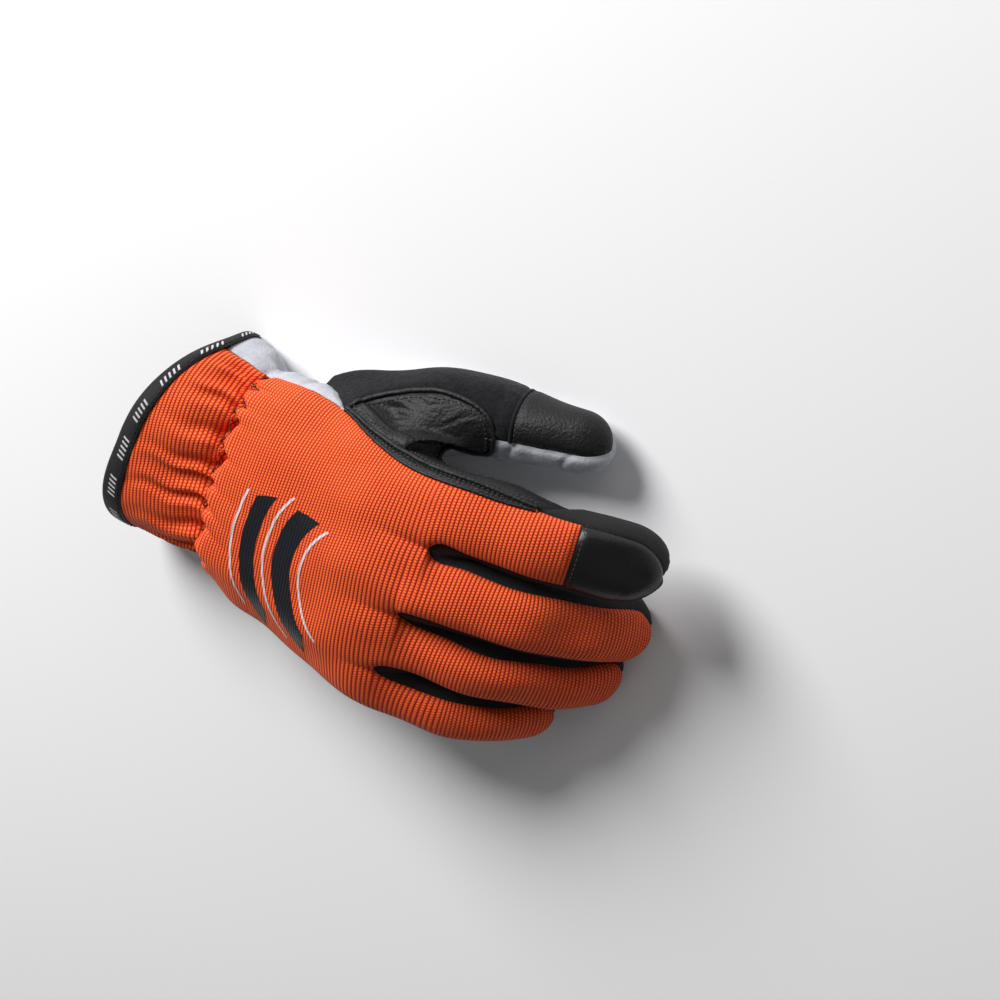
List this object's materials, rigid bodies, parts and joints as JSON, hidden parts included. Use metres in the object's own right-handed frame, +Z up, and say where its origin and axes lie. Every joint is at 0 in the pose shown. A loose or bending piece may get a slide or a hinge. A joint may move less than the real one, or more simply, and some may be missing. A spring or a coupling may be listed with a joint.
{
  "type": "work glove",
  "caption": "Lined work glove for the right hand: ribbed knit back, pale leather palm and thumb, black cloth sidewalls, leather fingertip patches, gathered wrist and a bound cuff",
  "frame": {"origin": "middle of the bounding box, on the plane the glove lies on", "axes": "+X from the cuff to the fingertips, +Y towards the thumb's side, +Z up out of the back of the hand; the palm faces down"},
  "size_m": [0.2213, 0.1376, 0.0594],
  "materials": {
    "orange_knit": "ribbed knit, matt",
    "pale_leather": "fine grained goat leather, dull",
    "black_leather": "grained leather, slight sheen",
    "black_cloth": "smooth stretch cloth, matt",
    "charcoal_cloth": "brushed fleece, matt",
    "binding_tape": "woven tape, matt"
  },
  "bodies": {
    "root": {"back_panel": "orange_knit", "palm_panel": "pale_leather", "index_tip_patch": "black_leather", "fourchette_index_outer": "black_cloth", "fourchette_index_middle": "black_cloth", "fourchette_middle_ring": "black_cloth", "fourchette_ring_little": "black_cloth", "fourchette_little_outer": "black_cloth", "thumb_back": "charcoal_cloth", "thumb_tip_patch": "black_leather", "thumb_crotch_patch": "black_leather", "thumb_palm": "pale_leather", "cuff_binding": "binding_tape"}
  },
  "joints": []
}
